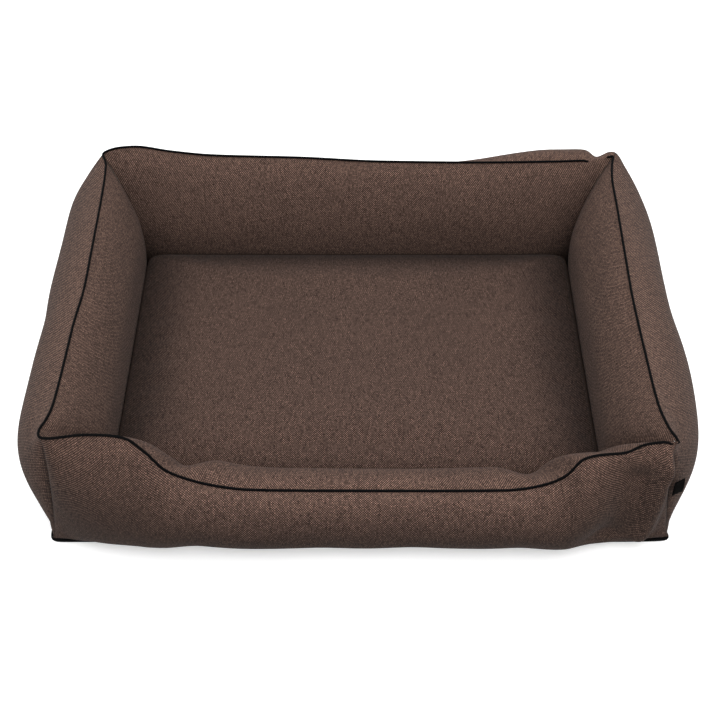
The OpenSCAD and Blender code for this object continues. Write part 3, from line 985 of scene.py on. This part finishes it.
def swollen_cushion():
    """The cushion's cover as one swollen body. Gives what pillow gives."""
    seam_low, seam_high = CUSHION_Z + 2.5 * MM, CUSHION_TOP - 14 * MM
    points, faces, kind, rows = pillow(
        0.8 * MM, seam_low, seam_high, crown_low=2.3 * MM, shoulder=12 * MM, crown=12 * MM,
        side_rows=9, belly=0.6 * MM)
    obj = mesh_object("cushion_swelling", points, faces)
    pinned = {int(i) for i in rows[0]} | {int(i) for i in rows[-1]}
    pinned |= {i for i, p in enumerate(points) if p[2] < seam_low + 1e-6}
    points = np.asarray(inflate(obj, sorted(pinned), CUSHION_GROWTH, **CUSHION_SWELL))
    bpy.data.objects.remove(obj)
    return points, faces, kind, rows


def cushion_covers(points, faces, kind, rows):
    """The three covers. The side one is open along the zip, and all carry painted shade, darker all over and
    more so towards the walls.
    """
    # Painted shade: darkest towards the side walls and the back, a little less towards the front.
    across, back = np.abs(points[:, 0]) / CUSHION_HALF[0], points[:, 1] / CUSHION_HALF[1]
    share = np.maximum(across, np.maximum(back, -0.8 * back))
    shade = -0.75 - 2.2 * smooth((share - 0.6) / 0.36) ** 1.6
    around = lengths_along(points[rows[-1]])
    flat_grain = points[:, :2]
    side_grain = flat_grain.copy()
    for row in rows:
        side_grain[row] = np.stack([around, points[row, 2]], axis=1)
    zip_lo, zip_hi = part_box("cushion_zip_teeth")
    zip_z = (zip_lo[2] + zip_hi[2]) / 2
    zip_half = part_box("cushion_zip_tapes")[1][0] - 2 * MM

    def in_slot(face):
        middle = points[list(face)].mean(axis=0)
        return middle[1] > 0.2 and abs(middle[0]) < zip_half and abs(middle[2] - zip_z) < 5.5 * MM

    for part, grain, material, slot_name, node in (
        ("top", flat_grain, CLOTH, "upholstery", "cushion_top_panel"),
        ("side", side_grain, CLOTH, "upholstery", "cushion_boxing"),
        ("bottom", flat_grain, LINING, "lining", "cushion_bottom_panel"),
    ):
        chosen = [f for f, k in zip(faces, kind) if k == part and not (part == "side" and in_slot(f))]
        obj = mesh_object("cushion_" + part + "_cover", points, chosen, grain)
        rub_and_shade_attribute(obj, shade)
        drop_loose(obj)
        add_thickness(obj, FABRIC)
        place(obj, "cushion", material, [node])


def foam_block(node, material, shoulder, crown):
    """A layer of foam, flat, or crowned under the cushion's top cover."""
    lo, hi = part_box(node)
    top = lo[2] + 2 * MM if crown else hi[2] - 0.5 * MM
    points, faces, _, _ = pillow(7 * MM, lo[2], top, 0, shoulder, crown, 3, 0, counts=(50, 36))
    place(mesh_object(node + "_block", points, faces), "cushion", material, [node])


def build_cushion():
    points, faces, kind, rows = swollen_cushion()
    cushion_covers(points, faces, kind, rows)
    for name, row, nodes in (("lower", rows[0], []), ("upper", rows[-1], ["cushion_piping"])):
        cord = tube("cushion_" + name + "_piping", points[row], CUSHION_PIPING_R, closed=True)
        place(cord, "cushion", BROWN_PIPING, nodes)
    foam_block("cushion_support_foam", FOAM, 0.0, 0.0)
    foam_block("cushion_topper", TOPPER, 9 * MM, 10 * MM)


build_cushion()


# ---------------- label, zip teeth and stitches
def bars(name, placed, size):
    """Many small bars with cut corners as one mesh, each placed by (middle, along, up)."""
    length, width, height = (v / 2 for v in size)
    points, faces, uvs = [], [], []
    outline = [(-0.7, -1), (0.7, -1), (1, -0.6), (1, 0.6), (0.7, 1), (-0.7, 1), (-1, 0.6), (-1, -0.6)]
    for middle, along, up in placed:
        middle, along, up = (np.asarray(v, float) for v in (middle, along, up))
        side = np.cross(up, along)
        first = len(points)
        for level, shrink in ((-1, 1.0), (0.55, 1.0), (1, 0.6)):
            for a, b in outline:
                spot = middle + along * a * length * shrink + side * b * width * shrink
                points.append(spot + up * level * height)
                uvs.append((a * length, b * width))
        faces += turned(ring_faces(3, len(outline), first))
    return mesh_object(name, points, faces, uvs)


def zip_teeth(node, body, lean, pitch=3.0 * MM):
    """Two rows of moulded teeth, half a pitch apart, along the chain of a zip."""
    lo, hi = (np.array(v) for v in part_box(node))
    middle = (lo + hi) / 2
    out = np.array([0, math.cos(lean), -math.sin(lean)])
    across = np.array([0, math.sin(lean), math.cos(lean)])
    placed = []
    for row in (-1, 1):
        start = lo[0] + pitch * (0.5 if row < 0 else 1.0)
        for x in np.arange(start, hi[0] - 0.4 * pitch, pitch):
            spot = np.array([x, *middle[1:]]) + across * row * 1.75 * MM
            placed.append((spot, np.array([1.0, 0, 0]), out))
    teeth = bars(node + "_rows", placed, (1.9 * MM, 2.3 * MM, 2.6 * MM))
    return place(teeth, body, TEETH, [node])


zip_teeth("cover_zip_teeth", "bed", ZIP_LEAN)
zip_teeth("cushion_zip_teeth", "cushion", 0.0)


def stitch_row(route, normals, pitch=4.0 * MM, length=2.8 * MM):
    """Places of a row of stitches along a line of points on the cloth."""
    at = lengths_along(route)
    spots = np.arange(pitch, at[-1] - pitch, pitch)
    middle, up = at_lengths(route, at, spots), at_lengths(normals, at, spots)
    along = at_lengths(route, at, spots + length / 2) - middle
    along /= np.linalg.norm(along, axis=1)[:, None]
    up -= (up * along).sum(axis=1)[:, None] * along
    up /= np.linalg.norm(up, axis=1)[:, None]
    return list(zip(middle, along, up))


def zip_stitches():
    """Topstitching above and below the zip's slot in the back wall."""
    u, t, outer, _ = SHAPES["back"]
    inside = np.abs(u) * WALLS["back"].half < ZIP_END + 8 * MM
    normal = normals_of(outer)
    placed = []
    for want in (ZIP_T - ZIP_SLOT - 0.012, ZIP_T + ZIP_SLOT + 0.012):
        row = np.concatenate([at_lengths(line, t, [want]) for line in outer[inside]])
        facing = normal[inside][:, nearest(t, want)]
        placed += stitch_row(row + facing * 0.2 * MM, facing)
    thread = bars("zip_topstitching", placed, (2.9 * MM, 0.7 * MM, 0.7 * MM))
    place(thread, "bed", THREAD)


zip_stitches()


def side_label():
    """A folded woven label: two layers joined by a rounded fold, a little curled and drooping."""
    lo, hi = (np.array(v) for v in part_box("side_label"))
    way = np.array([hi[0] - lo[0], hi[1] - lo[1]])
    way /= np.linalg.norm(way)
    face = np.array([way[1], -way[0]])
    start = np.array([lo[0] - 2 * MM, lo[1] - 3 * MM])    # inside the corner seam
    length, thick, rows = 19.5 * MM, 0.45 * MM, 13
    curl_by, droop_by = 1.6 * MM, 1.5 * MM
    layer = [(0, thick), (0.3 * length, thick), (0.65 * length, thick), (0.9 * length, 1.1 * thick)]
    fold = [(length * 0.97, 1.3 * thick), (length, 0), (length * 0.97, -1.3 * thick)]
    outline = layer + fold + [(a, -b) for a, b in reversed(layer)]
    points, uvs = [], []
    for r in range(rows):
        share = r / (rows - 1)
        z = lo[2] + (hi[2] - lo[2]) * share
        for a, b in outline:
            curl = curl_by * (a / length) ** 2 * math.sin(3.0 * share + 0.4)
            flat = start + way * a + face * (b + curl)
            points.append((flat[0], flat[1], z - droop_by * (a / length) ** 2))
            uvs.append((a, z))
    label = mesh_object("side_label_folded", points, turned(ring_faces(rows, len(outline))), uvs)
    place(label, "bed", LABEL, ["side_label"])


side_label()

# CAD pieces that are shown as they are, with a better material
for slot_name, material, nodes in (
    ("lining", LINING, ["floor_lining"]),
    ("zip_tape", TAPE, ["cover_zip_tapes", "cushion_zip_tapes"]),
    ("zip_metal", METAL, ["cover_zip_stops", "cushion_zip_stops", "cover_zip_slider", "cover_zip_pull",
                          "cushion_zip_slider"]),
):
    for node in nodes:
        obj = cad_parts[node]
        obj.data.materials.clear()
        obj.data.materials.append(material)

# ---------------- camera, light and floor
camera = bpy.data.objects.new("camera", bpy.data.cameras.new("camera"))
bpy.context.scene.collection.objects.link(camera)
# The photo's view, worked out from the crest corners' places in it. The tilt of 45 degrees is
# assumed, because it gives the bed usual proportions.
camera.location = (0.005, -1.564, 1.6195)
camera.rotation_euler = (math.radians(45), 0, 0)
camera.data.sensor_width = 36
camera.data.lens = 67.2
bpy.context.scene.camera = camera

ROOM = 30.0          # half the side of the square floor, in metres
ROOM_RING = [(-ROOM, -ROOM), (ROOM, -ROOM), (ROOM, ROOM), (-ROOM, ROOM)]


def room_part(name, points, faces, glow, sink=0.0, shadow=True):
    """A pale part of the room, which shines a little so that it looks white."""
    obj = mesh_object(name, points, faces)
    paint = Graph("pale_" + name, Roughness=0.9, Specular_IOR_Level=0.1, Emission_Strength=glow)
    paint.shader.inputs["Emission Color"].default_value = (1, 1, 1, 1)
    faint = paint.noise(paint.place(), 3.0, 2.0)
    obj.data.materials.append(paint.finish(paint.mix(faint, (0.93, 0.93, 0.93), (0.95, 0.95, 0.95))))
    obj.location.z = -sink
    obj.visible_diffuse, obj.visible_shadow = False, shadow


room_points = [(x, y, z) for z in (0, ROOM / 2) for x, y in ROOM_RING]
room_sides = [(i, (i + 1) % 4, 4 + (i + 1) % 4, 4 + i) for i in range(4)]
room_part("floor", room_points[:4], [(0, 1, 2, 3)], 0.3, sink=0.5 * MM)
room_part("backdrop", room_points, room_sides, 1.0, shadow=False)

lamp = bpy.data.objects.new("overhead", bpy.data.lights.new("overhead", "AREA"))
lamp.data.size = 1.8
lamp.data.energy = 25
lamp.location = (0.45, -1.85, 2.3)
lamp.rotation_euler = (-lamp.location).to_track_quat("-Z", "Y").to_euler()
bpy.context.scene.collection.objects.link(lamp)

world = bpy.data.worlds.new("studio")
world.use_nodes = True
sky = world.node_tree
toward = sky.nodes.new("ShaderNodeSeparateXYZ")
sky.links.new(sky.nodes.new("ShaderNodeTexCoord").outputs["Generated"], toward.inputs[0])
glow = sky.nodes.new("ShaderNodeMapRange")
for socket, value in {"From Min": -0.1, "From Max": 1.0, "To Min": 0.06, "To Max": 2.0}.items():
    glow.inputs[socket].default_value = value
sky.links.new(toward.outputs[2], glow.inputs["Value"])
sky.links.new(glow.outputs[0], sky.nodes["Background"].inputs["Strength"])
sky.nodes["Background"].inputs["Color"].default_value = (1, 1, 1, 1)
bpy.context.scene.world = world
bpy.context.scene.view_settings.view_transform = "Standard"
